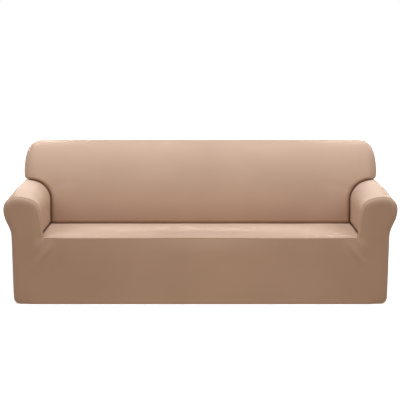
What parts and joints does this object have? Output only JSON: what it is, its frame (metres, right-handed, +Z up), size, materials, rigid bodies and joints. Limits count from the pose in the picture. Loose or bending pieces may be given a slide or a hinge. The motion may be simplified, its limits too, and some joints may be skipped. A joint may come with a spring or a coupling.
{
  "type": "stretch cover for a three-seat sofa",
  "caption": "One-piece stretch knit cover shaped to a rolled-arm sofa: hollow, with seat, back, arm and skirt panels and an elastic hem.",
  "frame": {"origin": "on the floor, under the middle of the cover", "axes": "+Z is up, the front faces -Y, +X runs along the seat"},
  "size_m": [2.272, 0.92, 0.88],
  "materials": {
    "stretch_knit": "matte ribbed knit"
  },
  "bodies": {
    "root": {"front_panel": "stretch_knit", "outside_back": "stretch_knit", "inside_back": "stretch_knit", "seat_panel": "stretch_knit", "back_end_right": "stretch_knit", "back_end_left": "stretch_knit", "arm_right": "stretch_knit", "arm_left": "stretch_knit"}
  },
  "joints": []
}
